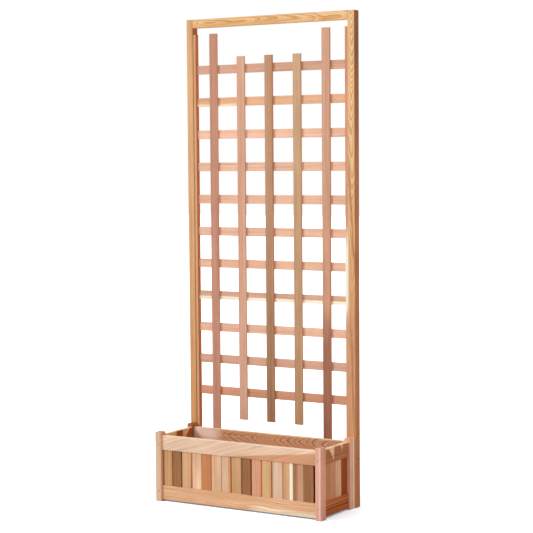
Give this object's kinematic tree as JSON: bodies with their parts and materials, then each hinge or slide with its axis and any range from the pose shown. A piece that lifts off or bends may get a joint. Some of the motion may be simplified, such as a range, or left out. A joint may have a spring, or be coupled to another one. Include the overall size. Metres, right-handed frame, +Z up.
{
  "type": "planter with trellis",
  "caption": "Slatted timber planter box on corner posts, with a tall framed lattice trellis standing behind it and screwed to its rear posts.",
  "frame": {"origin": "on the floor, at the middle of the footprint of planter and trellis together", "axes": "+Z up, +X along the planter to the right, +Y from the front of the planter to the back of the trellis"},
  "size_m": [0.838, 0.332, 2.1],
  "materials": {
    "frame_timber": "planed, unfinished golden timber",
    "lath_timber": "planed, unfinished pinkish timber",
    "post_timber": "planed, unfinished pale timber",
    "rail_timber": "planed, unfinished pale timber",
    "slat_timber": "planed, unfinished timber of mixed colour",
    "floor_timber": "sawn, unfinished timber",
    "screw_steel": "zinc plated"
  },
  "bodies": {
    "root": {"post_front_left": "post_timber", "post_front_right": "post_timber", "post_rear_left": "post_timber", "post_rear_right": "post_timber", "front_top_rail": "rail_timber", "front_bottom_rail": "rail_timber", "rear_top_rail": "rail_timber", "rear_bottom_rail": "rail_timber", "left_top_rail": "rail_timber", "left_bottom_rail": "rail_timber", "right_top_rail": "rail_timber", "right_bottom_rail": "rail_timber", "front_slat_01": "slat_timber", "front_slat_02": "slat_timber", "front_slat_03": "slat_timber", "front_slat_04": "slat_timber", "front_slat_05": "slat_timber", "front_slat_06": "slat_timber", "front_slat_07": "slat_timber", "front_slat_08": "slat_timber", "front_slat_09": "slat_timber", "front_slat_10": "slat_timber", "front_slat_11": "slat_timber", "front_slat_12": "slat_timber", "front_slat_13": "slat_timber", "front_slat_14": "slat_timber", "front_slat_15": "slat_timber", "right_slat_01": "slat_timber", "right_slat_02": "slat_timber", "right_slat_03": "slat_timber", "right_slat_04": "slat_timber", "left_slats": "slat_timber", "rear_slats": "slat_timber", "floor_bearers": "floor_timber", "floor_boards": "floor_timber", "stile_left": "frame_timber", "stile_right": "frame_timber", "top_crosspiece": "frame_timber", "lower_crosspiece": "frame_timber", "batten_left": "frame_timber", "batten_right": "frame_timber", "cross_lath_01": "lath_timber", "cross_lath_02": "lath_timber", "cross_lath_03": "lath_timber", "cross_lath_04": "lath_timber", "cross_lath_05": "lath_timber", "cross_lath_06": "lath_timber", "cross_lath_07": "lath_timber", "cross_lath_08": "lath_timber", "cross_lath_09": "lath_timber", "cross_lath_10": "lath_timber", "cross_lath_11": "lath_timber", "upright_lath_1": "lath_timber", "upright_lath_2": "lath_timber", "upright_lath_3": "lath_timber", "upright_lath_4": "lath_timber", "upright_lath_5": "lath_timber", "planter_screws": "screw_steel", "trellis_screws": "screw_steel"}
  },
  "joints": []
}
